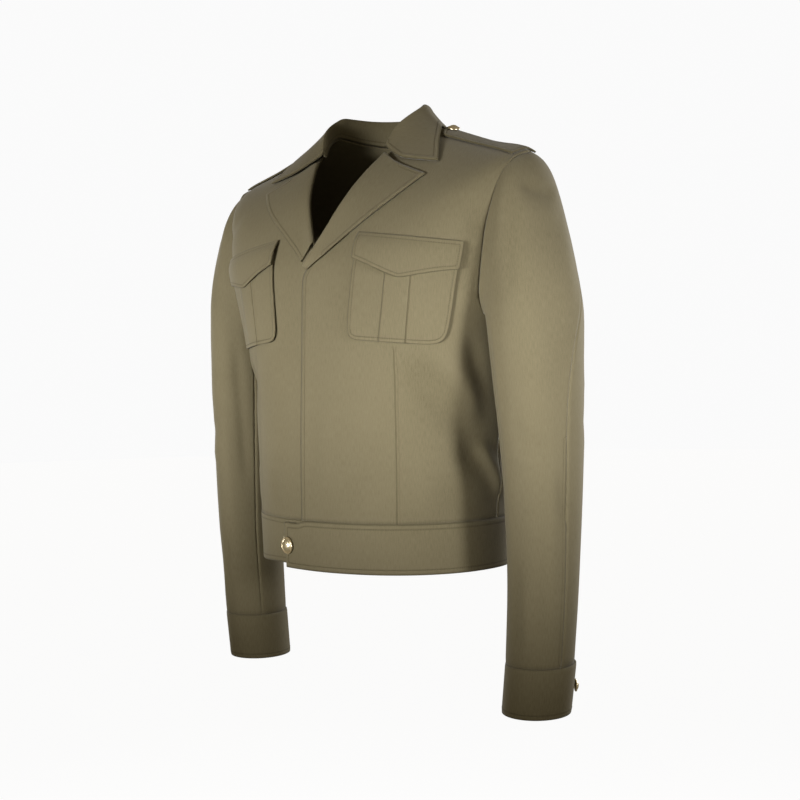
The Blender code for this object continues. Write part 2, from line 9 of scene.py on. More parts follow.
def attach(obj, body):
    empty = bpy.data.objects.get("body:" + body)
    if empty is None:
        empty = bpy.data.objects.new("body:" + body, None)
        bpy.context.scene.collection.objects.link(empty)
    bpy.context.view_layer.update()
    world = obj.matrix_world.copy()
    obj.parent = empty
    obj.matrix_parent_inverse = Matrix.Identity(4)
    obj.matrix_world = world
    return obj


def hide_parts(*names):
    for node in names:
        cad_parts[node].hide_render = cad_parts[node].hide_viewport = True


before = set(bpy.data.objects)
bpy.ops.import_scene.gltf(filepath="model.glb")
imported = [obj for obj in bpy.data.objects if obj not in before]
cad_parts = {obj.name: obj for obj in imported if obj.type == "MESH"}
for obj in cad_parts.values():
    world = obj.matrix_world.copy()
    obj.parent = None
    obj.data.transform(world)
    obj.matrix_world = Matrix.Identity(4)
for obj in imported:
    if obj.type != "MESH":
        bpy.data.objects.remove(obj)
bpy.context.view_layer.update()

# The camera
# It stands at the wearer's front left, level with the middle of the jacket and 1.6 m away, and
# looks almost straight ahead. It is turned a degree about its own view, as the picture is.
LENS = 58.0
FILM = 36.0
PICTURE = 800
PIXELS = LENS / FILM * PICTURE  # how many pixels wide a thing is that is as wide as it is far away
AWAY = 1.591
EYE_LEVEL = -0.270
STAND = math.radians(40.6)  # from straight in front of the jacket, towards its left
PAN = math.radians(0.57)
TILT = 1.83  # degrees below level
LEAN = math.radians(-0.99)

view = bpy.data.cameras.new("view")
view.lens = LENS
view.sensor_width = FILM
view.clip_end = 50.0
camera = bpy.data.objects.new("camera", view)
bpy.context.scene.collection.objects.link(camera)
camera.matrix_world = (
    Matrix.Translation((AWAY * math.sin(STAND), -AWAY * math.cos(STAND), EYE_LEVEL))
    @ Matrix.Rotation(STAND - PAN, 4, "Z")
    @ Matrix.Rotation(math.radians(90 - TILT), 4, "X")
    @ Matrix.Rotation(LEAN, 4, "Z")
)
bpy.context.scene.camera = camera


def seen_at(points):
    """Where points show in the picture, in pixels from its upper left corner."""
    turned = np.array(camera.matrix_world.inverted())
    local = points @ turned[:3, :3].T + turned[:3, 3]
    return np.stack(
        [
            PICTURE / 2 - PIXELS * local[:, 0] / local[:, 2],
            PICTURE / 2 + PIXELS * local[:, 1] / local[:, 2],
        ],
        axis=1,
    )


# The studio
# A plain pale floor far below the hem, in a white room that lights all sides a little. One low
# soft box in front lights the chest and fades towards the collar and the cuffs, one lights the near
# sleeve, and two more light the back and the far side.
FLOOR = -1.25
FLOOR_GREY = (0.04, 0.04, 0.04, 1)
FLOOR_GLOW = 0.945
ROOM_LIGHT = (0.220, 0.195, 0.145, 1)
ROOM_WHITE = (0.96, 0.96, 0.96, 1)
AIM = Vector((0, 0, -0.26))

# Each box's turn round the jacket from straight in front, in degrees, its height and how far away
# it is, the width and height of its face, its spread in degrees, and its power in watts
SOFT_BOXES = [
    ("key", -2, -0.40, 1.9, 1.1, 0.12, 27, 2.35),
    ("side", 86, -0.24, 1.9, 0.4, 0.2, 28, 1.0),
    ("back", 172, 0.10, 2.6, 1.6, 1.0, 90, 11),
    ("far_side", -112, 0.00, 2.6, 1.2, 1.0, 90, 6.5),
]

bpy.context.scene.view_settings.view_transform = "Standard"
bpy.ops.mesh.primitive_circle_add(vertices=96, radius=12, fill_type="NGON", location=(0, 0, FLOOR))
floor = bpy.context.object
floor.name = "floor"
floor.data.transform(floor.matrix_world)
floor.matrix_world = Matrix.Identity(4)
floor.visible_diffuse = False
floor.visible_glossy = False
paper = bpy.data.materials.new("pale_floor")
paper.use_nodes = True
paper_finish = paper.node_tree.nodes["Principled BSDF"]
paper_finish.inputs["Base Color"].default_value = FLOOR_GREY
paper_finish.inputs["Roughness"].default_value = 0.9
paper_finish.inputs["Emission Color"].default_value = (1, 1, 1, 1)
paper_finish.inputs["Emission Strength"].default_value = FLOOR_GLOW
floor.data.materials.append(paper)

# The room is white where the camera sees it, and a dim warm light to everything else
room = bpy.data.worlds.new("room")
room.use_nodes = True
rays = room.node_tree.nodes.new("ShaderNodeLightPath")
walls = room.node_tree.nodes.new("ShaderNodeMix")
walls.data_type = "RGBA"
walls.inputs[6].default_value = ROOM_LIGHT
walls.inputs[7].default_value = ROOM_WHITE
room.node_tree.links.new(rays.outputs["Is Camera Ray"], walls.inputs[0])
room.node_tree.links.new(walls.outputs[2], room.node_tree.nodes["Background"].inputs["Color"])
bpy.context.scene.world = room

for name, turn, height, away, wide, tall, spread, power in SOFT_BOXES:
    light = bpy.data.lights.new(name, "AREA")
    light.shape = "RECTANGLE"
    light.size = wide
    light.size_y = tall
    light.spread = math.radians(spread)
    light.energy = power
    lamp = bpy.data.objects.new(name, light)
    bpy.context.scene.collection.objects.link(lamp)
    turn = math.radians(turn)
    place = Vector((away * math.sin(turn), -away * math.cos(turn), height))
    lamp.location = place
    lamp.rotation_euler = (AIM - place).to_track_quat("-Z", "Y").to_euler()

# The serge
# A smooth olive drab wool twill, woven from mixed light and dark fibres. It is matt with a faint
# bloom and a little raised along its stitched edges. Its colour is darkened in the seams, partly as
# dirt and partly as painted shade, has a painted shadow on the very edges and painted shade and
# light on its folds, and is lighter on the turned edges, partly as rubbed wear and partly as a
# painted highlight.
# The serge's colour and a lighter and a darker one, which serve both its mixed fibres and its painted
# light and shade
SERGE = (0.147, 0.125, 0.072, 1)
SERGE_LIGHT = (0.193, 0.167, 0.101, 1)
SERGE_DARK = (0.078, 0.065, 0.031, 1)
TWILL_PITCH = 0.0011
TWILL_TURN = math.radians(63)
TWILL_RISE = 0.00005
FIBRES = 1500.0  # how many there are to the metre
FIBRE_RISE = 0.00005
SLUBS = (900, 120, 1)  # to the metre across the grain, along it and through the cloth
SLUB_RISE = 0.00004
CLOUDS = 9.0  # how many lighter and darker patches there are to the metre
EDGE_RISE = 0.00035  # how far a stitched edge stands up, and its row of stitches sinks
SEAM_SINK = 0.0006
WAVE_BAND = 0.314  # how wide one band of Blender's wave texture is at scale 1


class Wire:
    """A socket in a material, so that its maths reads as Python."""

    def __init__(self, tree, socket=None):
        self.tree = tree
        self.socket = socket

    def make(self, kind, settings, inputs, output=0):
        """Any node: its settings first, then the values or links of its sockets."""
        node = self.tree.nodes.new(kind)
        for setting, value in settings.items():
            setattr(node, setting, value)
        for name, value in inputs.items():
            if isinstance(value, Wire):
                self.tree.links.new(value.socket, node.inputs[name])
            else:
                node.inputs[name].default_value = value
        return Wire(self.tree, node.outputs[output])

    def maths(self, operation, *values):
        return self.make("ShaderNodeMath", {"operation": operation}, dict(enumerate(values)))

    def noise(self, place, scale, detail=2.0):
        inputs = {"Vector": place, "Scale": scale, "Detail": detail}
        return self.make("ShaderNodeTexNoise", {}, inputs, "Fac")

    def kept(self, name):
        """A number that the mesh keeps at its points."""
        return self.make("ShaderNodeAttribute", {"attribute_name": name}, {}, "Fac")

    def bump(self, height, strength):
        inputs = {"Strength": strength, "Distance": 1.0, "Height": height}
        return self.make("ShaderNodeBump", {}, inputs, "Normal")

    def part(self, axis):
        """One coordinate of this place."""
        return self.make("ShaderNodeSeparateXYZ", {}, {"Vector": self}, axis)

    def blend(self, first, second):
        """One colour or another, by this number."""
        return self.make("ShaderNodeMix", {"data_type": "RGBA"}, {0: self, 6: first, 7: second}, 2)

    def step(self, low, high):
        """0 below the first number and 1 above the second, with a soft way between them."""
        settings = {"interpolation_type": "SMOOTHSTEP"}
        return self.make("ShaderNodeMapRange", settings, {"Value": self, 1: low, 2: high})

    def near(self, value, width):
        """1 at a value, and 0 further from it than the width."""
        return 1 - abs(self - value).step(0, width)

    def __add__(self, other):
        return self.maths("ADD", self, other)

    __radd__ = __add__

    def __sub__(self, other):
        return self.maths("SUBTRACT", self, other)

    def __rsub__(self, other):
        return self.maths("SUBTRACT", other, self)

    def __mul__(self, other):
        return self.maths("MULTIPLY", self, other)

    __rmul__ = __mul__

    def __abs__(self):
        return self.maths("ABSOLUTE", self)


def blank_material(name):
    """A new material, the inputs of its finish, and a wire to start from."""
    material = bpy.data.materials.new(name)
    material.use_nodes = True
    return material, material.node_tree.nodes["Principled BSDF"].inputs, Wire(material.node_tree)


def join(wire, socket):
    wire.tree.links.new(wire.socket, socket)


def serge_cloth(name, lines=None):
    """Serge as a material. Lines adds the seams that one kind of panel has in its middle."""
    material, finish, wire = blank_material(name)
    cut = wire.make("ShaderNodeUVMap", {"uv_map": "cut"}, {})
    place = wire.make("ShaderNodeTexCoord", {}, {}, "Object")
    welt = wire.kept("welt")
    fold = wire.kept("fold")

    turned = wire.make("ShaderNodeMapping", {}, {"Vector": cut, "Rotation": (0, 0, TWILL_TURN)})
    ribs = wire.make(
        "ShaderNodeTexWave",
        {"wave_type": "BANDS", "bands_direction": "X"},
        {
            "Vector": turned,
            "Scale": WAVE_BAND / TWILL_PITCH,
            "Distortion": 0.6,
            "Detail": 1.0,
            "Detail Scale": 1.5,
        },
        "Fac",
    )
    fibres = wire.noise(cut, FIBRES)
    yarns = wire.make("ShaderNodeMapping", {}, {"Vector": cut, "Scale": SLUBS})
    slubs = wire.noise(yarns, 1.0)
    cloud = wire.noise(place, CLOUDS, 3.0)

    # Welt is 0 on a stitched edge, 1 on its row of stitches and more on the cloth beyond it
    stitched = welt.near(1.0, 0.24)
    turned_edge = 1 - welt.step(0.0, 0.35)
    allowance = 1 - welt.step(0.95, 1.25)
    seam = stitched
    height = ribs * TWILL_RISE + fibres * FIBRE_RISE + slubs * SLUB_RISE
    height = height + allowance * EDGE_RISE - stitched * EDGE_RISE
    if lines:
        depth, raised = lines(place)
        seam = seam + depth * 1.25
        height = height + raised - depth * SEAM_SINK

    tone = 0.5 + (cloud - 0.5) * 0.28 + (fibres - 0.5) * 0.5 + (slubs - 0.5) * 0.5 + (ribs - 0.5) * 0.12
    # Painted light and shade: the fold height darkens the hollows of the folds and lightens their
    # ridges, and the turned edges are lightened, partly as rubbed wear and partly as a painted
    # highlight
    tone = tone + turned_edge * 0.06 + fold * 0.10
    low = tone.step(0.05, 0.55).blend(SERGE_DARK, SERGE)
    colour = tone.step(0.45, 1.0).blend(low, SERGE_LIGHT)
    # Partly dirt and partly painted shade: the cloth darkens along each sunk row of stitches and in the
    # dart and pleat lines, where their grooves hold shade
    colour = (seam * 0.55).blend(colour, SERGE_DARK)
    # Painted shadow: a dark rim along the very edge of each stitched panel, standing in for the shade
    # its edge casts
    edge = 1 - welt.step(0.12, 0.32)
    colour = (edge * 0.70).blend(colour, SERGE_DARK)
    join(colour, finish["Base Color"])
    join(0.86 - turned_edge * 0.08 + (fibres - 0.5) * 0.06, finish["Roughness"])
    join(wire.bump(height, 0.8), finish["Normal"])
    finish["Sheen Weight"].default_value = 0.14
    finish["Sheen Roughness"].default_value = 0.45
    finish["Specular IOR Level"].default_value = 0.25
    return material


serge = serge_cloth("serge")


# The back
# One wide panel of serge from side seam to side seam, which also carries the shoulders. It hangs
# from them in soft folds, and is eased into the waistband.
CLOTH = 0.0019
SAME_POINT = 0.00001
CORNER = math.radians(50)  # a sheet ends where its solid turns more sharply than this
EDGE_DROP = 0.0004  # how far the edge of a sheet turns in
GRAZING = 0.35  # how squarely the cloth must face the viewer to carry a fold at full height
FULL_FOLD = 0.004  # the height at which a fold is shaded in full
FOLD_START = 0.15  # where on its rise a fold begins at each end
FOLD_TAPER = 0.3  # over what share of a fold's length each end rises
MOST_WELT = 3.0  # the welt's value on cloth far from any stitched edge
SHORTEST_ROW = 6
TINY = 1e-12  # keeps a division by a length from failing


def read(items, name, width=1, kind=np.float32):
    """One value of all of a mesh's items of a kind."""
    values = np.empty(len(items) * width, kind)
    items.foreach_get(name, values)
    return values.reshape(-1, width) if width > 1 else values


def points_of(sheet):
    return read(sheet.data.vertices, "co", 3).astype(float)


def normals_of(sheet):
    return read(sheet.data.vertex_normals, "vector", 3).astype(float)


def corners_of(sheet):
    """The point at each corner of each face."""
    return read(sheet.data.loops, "vertex_index", kind=np.int32)


def sides_of(sheet):
    """The edge that starts at each corner of each face."""
    return read(sheet.data.loops, "edge_index", kind=np.int32)


def ends_of(sheet):
    """The two points of each edge."""
    return read(sheet.data.edges, "vertices", 2, np.int32)


def move_to(sheet, points):
    sheet.data.vertices.foreach_set("co", points.astype(np.float32).ravel())
    sheet.data.update()


def pick(sheet):
    bpy.ops.object.select_all(action="DESELECT")
    bpy.context.view_layer.objects.active = sheet
    sheet.select_set(True)


def finish_with(sheet, kind, **settings):
    """Adds a modifier and applies it."""
    pick(sheet)
    modifier = sheet.modifiers.new(kind.lower(), kind)
    for setting, value in settings.items():
        setattr(modifier, setting, value)
    bpy.ops.object.modifier_apply(modifier=modifier.name)


def lift(node, heart):
    """The outer side of a panel's solid as an open sheet of squares. Heart is inside the wearer."""
    sheet = bpy.data.objects.new(node + "_cloth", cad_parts[node].data.copy())
    bpy.context.scene.collection.objects.link(sheet)
    sheet.data.materials.clear()
    pick(sheet)
    if sheet.data.has_custom_normals:
        bpy.ops.mesh.customdata_custom_splitnormals_clear()
    bpy.ops.object.mode_set(mode="EDIT")
    bpy.ops.mesh.select_mode(type="FACE")
    bpy.ops.mesh.select_all(action="SELECT")
    bpy.ops.mesh.remove_doubles(threshold=SAME_POINT)
    bpy.ops.mesh.select_all(action="DESELECT")
    bpy.ops.object.mode_set(mode="OBJECT")
    faces = sheet.data.polygons
    reach = [(face.center - Vector(heart)).dot(face.normal) * face.area for face in faces]
    faces[int(np.argmax(reach))].select = True
    bpy.ops.object.mode_set(mode="EDIT")
    bpy.ops.mesh.faces_select_linked_flat(sharpness=CORNER)
    bpy.ops.mesh.select_all(action="INVERT")
    bpy.ops.mesh.delete(type="FACE")
    bpy.ops.mesh.select_all(action="SELECT")
    bpy.ops.mesh.fill_holes(sides=4)
    bpy.ops.mesh.select_all(action="SELECT")
    bpy.ops.mesh.tris_convert_to_quads(
        face_threshold=math.pi, shape_threshold=math.pi, topology_influence=1.5
    )
    bpy.ops.mesh.faces_shade_smooth()
    bpy.ops.object.mode_set(mode="OBJECT")
    return sheet


def lay_flat(sheet, along):
    """Lays the sheet flat as its paper pattern, in metres, with its grain upright."""
    while sheet.data.uv_layers:
        sheet.data.uv_layers.remove(sheet.data.uv_layers[0])
    sheet.data.uv_layers.new(name="cut")
    bpy.ops.object.mode_set(mode="EDIT")
    bpy.ops.mesh.select_all(action="SELECT")
    bpy.ops.uv.unwrap(method="ANGLE_BASED", margin=0.0)
    bpy.ops.object.mode_set(mode="OBJECT")
    flat = read(sheet.data.uv_layers["cut"].data, "uv", 2).astype(float)
    paper_area = 0.0
    cloth_area = 0.0
    for face in sheet.data.polygons:
        x, y = flat[list(face.loop_indices)].T
        paper_area += abs(np.dot(x, np.roll(y, -1)) - np.dot(y, np.roll(x, -1))) / 2
        cloth_area += face.area
    flat = (flat - flat.mean(0)) * math.sqrt(cloth_area / paper_area)
    rise = points_of(sheet)[corners_of(sheet)] @ np.array(along, float)
    slope = np.linalg.lstsq(flat, rise - rise.mean(), rcond=None)[0]
    slope /= np.linalg.norm(slope)
    flat = flat @ np.array([[slope[1], slope[0]], [-slope[0], slope[1]]])
    sheet.data.uv_layers["cut"].data.foreach_set("uv", flat.astype(np.float32).ravel())
    spread = flat.max(0) - flat.min(0)
    return round(float(spread[0]), 3), round(float(spread[1]), 3), round(cloth_area, 4)


def edges_of(sheet):
    """The ends of each edge round a sheet of squares, and the way out of the cloth there."""
    corner = corners_of(sheet)
    side = sides_of(sheet)
    ends = ends_of(sheet)
    uses = np.bincount(side, minlength=len(ends))
    points = points_of(sheet)
    middle = np.repeat(points[corner.reshape(-1, 4)].mean(1), 4, axis=0)
    lone = np.flatnonzero(uses[side] == 1)
    rim = ends[side[lone]]
    run = points[rim[:, 1]] - points[rim[:, 0]]
    run /= np.linalg.norm(run, axis=1)[:, None] + TINY
    out = points[rim].mean(1) - middle[lone]
    out -= (out * run).sum(1)[:, None] * run
    out /= np.linalg.norm(out, axis=1)[:, None] + TINY
    return rim, out


def iron(sheet, rim, rounds):
    """Evens out the flats of the solid, but not the edges."""
    ends = ends_of(sheet)
    points = points_of(sheet)
    count = np.bincount(ends.ravel(), minlength=len(points))[:, None]
    inside = np.ones(len(points), bool)
    inside[rim.ravel()] = False
    for _ in range(rounds):
        total = np.zeros_like(points)
        np.add.at(total, ends[:, 0], points[ends[:, 1]])
        np.add.at(total, ends[:, 1], points[ends[:, 0]])
        points[inside] = (points[inside] + (total / count)[inside]) / 2
    move_to(sheet, points)


def from_edge(sheet, rim):
    """How far each point is from some of the edges, over the flat cloth."""
    flat = np.zeros((len(sheet.data.vertices), 2))
    flat[corners_of(sheet)] = read(sheet.data.uv_layers["cut"].data, "uv", 2)
    samples = np.concatenate(
        [flat[rim[:, 0]] * (1 - share) + flat[rim[:, 1]] * share for share in (0, 0.25, 0.5, 0.75)]
    )
    tree = KDTree(len(samples))
    for index, (x, y) in enumerate(samples):
        tree.insert((x, y, 0), index)
    tree.balance()
    return np.array([tree.find((x, y, 0))[2] for x, y in flat])


def store(sheet, name, values):
    attribute = sheet.data.attributes.new(name, "FLOAT", "POINT")
    attribute.data.foreach_set("value", values.astype(np.float32))


def gentle(value):
    """From 0 to 1 with a soft start and a soft end."""
    value = np.clip(value, 0, 1)
    return value * value * (3 - 2 * value)


def nearness(places, path, width):
    """1 on a path, falling to 0 beyond its width and towards its two ends."""
    path = np.array(path, float)
    steps = path[1:] - path[:-1]
    lengths = np.linalg.norm(steps, axis=1)
    best = np.full(len(places), 1e9)
    along = np.zeros(len(places))
    done = 0.0
    for start, step, length in zip(path[:-1], steps, lengths):
        share = np.clip((places - start) @ step / length**2, 0, 1)
        away = np.linalg.norm(places - start - share[:, None] * step, axis=1)
        closer = away < best
        best = np.where(closer, away, best)
        along = np.where(closer, done + share * length, along)
        done += length
    ends = gentle(np.minimum(along, done - along) / (FOLD_TAPER * done) + FOLD_START)
    return np.exp(-((best / width) ** 2)) * ends


# Each fold is a path, its width and its height, which is below 0 for a hollow. Those that the
# picture shows are laid by its pixels, and again on the other side, and the rest by x and z.
CHEST_FOLDS = [
    ([(404, 356), (438, 394), (466, 434), (488, 486)], 20.0, -0.0070),
    ([(430, 345), (468, 386), (490, 420)], 11.0, 0.0024),
    ([(480, 440), (494, 468), (505, 500)], 6.5, 0.0052),
    ([(482, 200), (474, 250), (470, 300)], 11.0, -0.0026),
    ([(470, 330), (480, 380), (489, 430)], 9.0, -0.0034),
    ([(330, 380), (322, 440), (326, 505)], 12.0, 0.0010),
    ([(355, 470), (352, 512)], 9.0, -0.0008),
    ([(420, 470), (424, 515)], 10.0, 0.0012),
    ([(446, 470), (455, 518)], 9.0, -0.0012),
    ([(440, 190), (470, 215), (480, 240)], 10.0, -0.0012),
]
BACK_FOLDS = [
    ([(0.085, -0.110), (0.135, -0.175), (0.165, -0.235)], 0.020, -0.0035),
    ([(0.060, -0.150), (0.105, -0.215), (0.140, -0.280)], 0.018, 0.0022),
    ([(-0.085, -0.105), (-0.130, -0.170), (-0.165, -0.240)], 0.021, -0.0033),
    ([(-0.055, -0.160), (-0.100, -0.230), (-0.135, -0.290)], 0.018, 0.0020),
    ([(0.000, -0.060), (0.003, -0.200)], 0.022, -0.0012),
    ([(0.045, -0.330), (0.052, -0.450)], 0.013, -0.0022),
    ([(0.085, -0.345), (0.092, -0.452)], 0.014, 0.0024),
    ([(0.118, -0.300), (0.128, -0.448)], 0.014, -0.0030),
    ([(-0.040, -0.345), (-0.044, -0.450)], 0.013, 0.0022),
    ([(-0.078, -0.325), (-0.086, -0.452)], 0.014, -0.0026),
    ([(-0.120, -0.310), (-0.126, -0.450)], 0.013, -0.0024),
    ([(0.005, -0.370), (0.004, -0.452)], 0.012, -0.0016),
]


def drape(sheet, seen, behind):
    """Lays the folds in the cloth, and keeps their height for its shading."""
    points = points_of(sheet)
    normals = normals_of(sheet)
    mirror = np.array([-1, 1, 1])
    towards = np.array(camera.matrix_world.to_3x3().col[2])
    height = np.zeros(len(points))
    for side in (1, mirror):
        places = seen_at(points * side)
        shown = gentle((normals * side) @ towards / GRAZING)
        for path, width, rise in seen:
            height += nearness(places, path, width) * rise * shown
    hind = gentle(normals[:, 1] / GRAZING)
    for path, width, rise in behind:
        height += nearness(points[:, [0, 2]], path, width) * rise * hind
    store(sheet, "fold", np.clip(height / FULL_FOLD, -1, 1))
    move_to(sheet, points + normals * height[:, None])


stitch_rows = []


def sew_along(sheet, values, level):
    """Keeps the line on the sheet where the values pass the level, as a row to be stitched."""
    corner = corners_of(sheet).reshape(-1, 4)
    side = sides_of(sheet).reshape(-1, 4)
    over = values[corner] > level
    crossed = np.flatnonzero(over.any(1) & ~over.all(1))
    points = points_of(sheet)
    normals = normals_of(sheet)
    place = {}
    links = {}
    for face in crossed:
        cuts = []
        for k in range(4):
            a, b = corner[face, k], corner[face, (k + 1) % 4]
            if (values[a] > level) != (values[b] > level):
                share = (level - values[a]) / (values[b] - values[a])
                edge = int(side[face, k])
                place[edge] = (
                    points[a] * (1 - share) + points[b] * share,
                    normals[a] * (1 - share) + normals[b] * share,
                )
                cuts.append(edge)
        if len(cuts) == 2:
            links.setdefault(cuts[0], []).append(cuts[1])
            links.setdefault(cuts[1], []).append(cuts[0])
    left = set(links)
    ends = sorted(edge for edge in left if len(links[edge]) == 1)
    for start in ends + sorted(left):
        if start not in left:
            continue
        left.discard(start)
        row = [start]
        while True:
            ahead = [edge for edge in links[row[-1]] if edge in left]
            if not ahead:
                break
            left.discard(ahead[0])
            row.append(ahead[0])
        if len(row) > SHORTEST_ROW:
            stitch_rows.append(np.array([np.concatenate(place[edge]) for edge in row]))


def tailor(
    node,
    heart,
    wall=CLOTH,
    levels=3,
    let_out=0.0009,
    ironing=8,
    settled=None,
    seen=(),
    behind=(),
    sewn=None,
    welt=0.0055,
    along=(0, 0, 1),
):
    """Makes one panel: its sheet on the solid's form, its folds, its edges and its wall.

    Heart is a point inside the wearer, behind the panel. Settled moves the points of the bare
    sheet. Sewn says by x, y and z which edges are stitched, and welt how far in from them.
    """
    sheet = lift(node, heart)
    size = lay_flat(sheet, along)
    smooth = {"levels": levels, "render_levels": levels, "boundary_smooth": "PRESERVE_CORNERS"}
    finish_with(sheet, "SUBSURF", **smooth)
    rim, out = edges_of(sheet)
    iron(sheet, rim, ironing)
    points = points_of(sheet)
    push = np.zeros_like(points)
    np.add.at(push, rim[:, 0], out)
    np.add.at(push, rim[:, 1], out)
    push /= np.maximum(np.linalg.norm(push, axis=1), 1)[:, None]
    points += push * let_out
    points -= normals_of(sheet) * (np.linalg.norm(push, axis=1) > 0)[:, None] * EDGE_DROP
    move_to(sheet, settled(points) if settled else points)
    drape(sheet, seen, behind)
    if sewn:
        middles = points_of(sheet)[rim].mean(1)
        chosen = rim[[bool(sewn(*middle)) for middle in middles]]
        away = from_edge(sheet, chosen) / welt
        sew_along(sheet, away, 1.0)
        store(sheet, "welt", np.minimum(away, MOST_WELT))
    else:
        store(sheet, "welt", np.full(len(sheet.data.vertices), MOST_WELT))
    finish_with(sheet, "SOLIDIFY", thickness=wall, offset=-1, use_rim=True)
    sheet.data.materials.append(serge)
    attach(sheet, "root")
    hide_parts(node)
    return sheet, size


back, size = tailor("back", (0, 0, -0.25), seen=CHEST_FOLDS, behind=BACK_FOLDS, ironing=60)

# The fronts
# Two panels of serge. The left one laps over the right and hides the fly that closes them, and
# its edge is turned in and stitched. Each has one long dart from the pocket to the waist seam.
FRONT_EDGE = 0.03  # the front edges lie nearer to the middle than this
WAIST_SEAM = -0.4535
DART_TOP = -0.256
DART_X = 0.1140
DART_SLANT = 0.0157
DART_RISE = 0.0004


def dart_line(place):
    """How deep the dart is sewn in, which also darkens it as painted shade, and how high the cloth
    stands beside it.
    """
    z = place.part("Z")
    off = abs(place.part("X")) - (DART_X + z * DART_SLANT)
    below = 1 - z.step(DART_TOP - 0.006, DART_TOP + 0.002)
    depth = off.near(0, 0.0011) * below
    beside = off.near(0.0026, 0.0009) * below
    return depth + beside * 0.35, (1 - off.step(-0.0006, 0.0030)) * below * DART_RISE


front_serge = serge_cloth("serge_fronts", dart_line)
for name in ("left", "right"):
    front, size = tailor(
        "front_" + name,
        (0, 0, -0.25),
        ironing=60,
        seen=CHEST_FOLDS,
        sewn=lambda x, y, z: abs(x) < FRONT_EDGE and z > WAIST_SEAM,
    )
    front.data.materials[0] = front_serge

# The lapels
# The front edges, faced with the same serge, turned back over the chest along a soft roll. Their
# notched outer edges are stitched.
ROLL_FOOT = (0.012, -0.161)  # x and z of a point beside the foot of the roll line
ROLL_SLANT = 0.70

for name, side in (("left", 1), ("right", -1)):
    lapel, size = tailor(
        "lapel_" + name,
        (0, 0, -0.12),
        let_out=0.0,
        sewn=lambda x, y, z, side=side: x * side - ROLL_FOOT[0] > (z - ROLL_FOOT[1]) * ROLL_SLANT,
        welt=0.0050,
    )

# The collar
# One band of serge round the neck, which stands up inside and falls over itself to two square
# leaves in front. Its fall is stitched round its edge.
COLLAR_CLOTH = 0.0020


def all_round(x, y, z):
    return True


collar, size = tailor(
    "collar", (0, 0, -0.02), COLLAR_CLOTH, let_out=0.0006, ironing=3, sewn=all_round, welt=0.0050
)

# The sleeves
# Each is cut in two pieces, joined by a seam in front of the arm and one behind it, with a stitched
# edge along the hind one. The head is eased into the armhole, with a dimple under the shoulder.
ARM = (0.228, -0.012, -0.36)
CUFF_SEAM = -0.6065
HIND = -0.03
SLEEVE_FOLDS = [
    ([(520, 182), (538, 190), (556, 194)], 7.5, -0.0030),
    ([(516, 206), (536, 214), (560, 216)], 9.0, 0.0012),
    ([(503, 180), (498, 225), (490, 280)], 6.0, 0.0012),
    ([(514, 190), (512, 240), (507, 300)], 8.0, -0.0013),
    ([(560, 470), (563, 500), (566, 530)], 5.5, -0.0016),
    ([(553, 455), (550, 520), (552, 600)], 8.0, 0.0010),
    ([(516, 560), (517, 610), (517, 655)], 4.5, -0.0013),
    ([(525, 585), (527, 650)], 5.0, 0.0009),
    ([(508, 420), (524, 436), (548, 446)], 9.0, -0.0012),
    ([(506, 448), (524, 462), (546, 474)], 8.0, 0.0010),
    ([(530, 300), (536, 360), (534, 420)], 13.0, 0.0012),
    ([(555, 280), (562, 340), (560, 410)], 12.0, -0.0010),
    ([(540, 560), (542, 640)], 6.0, -0.0008),
    ([(233, 330), (240, 400), (247, 490)], 6.0, -0.0022),
    ([(221, 390), (228, 470), (236, 545)], 6.0, 0.0013),
]
ELBOW_FOLDS = [
    ([(0.205, -0.330), (0.240, -0.345), (0.275, -0.340)], 0.010, -0.0018),
    ([(0.205, -0.362), (0.238, -0.372), (0.272, -0.366)], 0.010, 0.0014),
    ([(0.210, -0.300), (0.238, -0.305), (0.270, -0.295)], 0.011, 0.0013),
    ([(0.205, -0.180), (0.225, -0.240)], 0.012, -0.0016),
    ([(-0.205, -0.335), (-0.240, -0.348), (-0.275, -0.340)], 0.010, -0.0018),
    ([(-0.205, -0.365), (-0.238, -0.376), (-0.272, -0.370)], 0.010, 0.0014),
    ([(-0.210, -0.302), (-0.238, -0.310), (-0.270, -0.300)], 0.011, 0.0013),
    ([(-0.205, -0.185), (-0.225, -0.245)], 0.012, -0.0016),
]


def hind_seam(x, y, z):
    """The hind seam from the elbow to the cuff."""
    return y > HIND and CUFF_SEAM < z < ARM[2]


for name, side in (("left", 1), ("right", -1)):
    for part, levels in (("top", 3), ("under", 2)):
        sleeve, size = tailor(
            f"sleeve_{part}_{name}",
            (ARM[0] * side, ARM[1], ARM[2]),
            levels=levels,
            let_out=0.0011,
            seen=SLEEVE_FOLDS,
            behind=ELBOW_FOLDS,
            sewn=hind_seam if part == "top" else None,
            welt=0.0035,
        )

# The cuffs
# A deep band of serge round each wrist, sewn to the gathered end of the sleeve. It laps over
# itself behind the wrist, where a small button holds it, and is stitched along its lower edge.
WRIST = (0.224, -0.015, -0.637)
CUFF_CLOTH = 0.0029
CUFF_SEWN_BELOW = -0.63

for name, side in (("left", 1), ("right", -1)):
    cuff, size = tailor(
        "cuff_" + name,
        (WRIST[0] * side, WRIST[1], WRIST[2]),
        CUFF_CLOTH,
        let_out=0.0,
        sewn=lambda x, y, z: z < CUFF_SEWN_BELOW,
    )

# The waistband
# A firm band of serge in two layers round the waist. Its left end runs on past the front edge as
# a tab, which laps over the right end and is held by the large button. It is stitched all round.
BAND_CLOTH = 0.0029

band, size = tailor(
    "waistband", (0, 0, -0.484), BAND_CLOTH, let_out=0.0, sewn=all_round, welt=0.0060
)

# The chest pockets
# A patch of serge on each front with a box pleat down its middle, pressed flat. Its sides and
# rounded bottom are stitched on near the edge, and its top is hidden by the flap.
POCKET_CLOTH = 0.0015
PLEAT_INNER = (0.1310, 0.1392)  # x level with the neck, and the slant, of the pleat's inner edge
PLEAT_OUTER = (0.1631, 0.1519)
PLEAT_EDGE = 0.0012
PLEAT_RISE = 0.0009


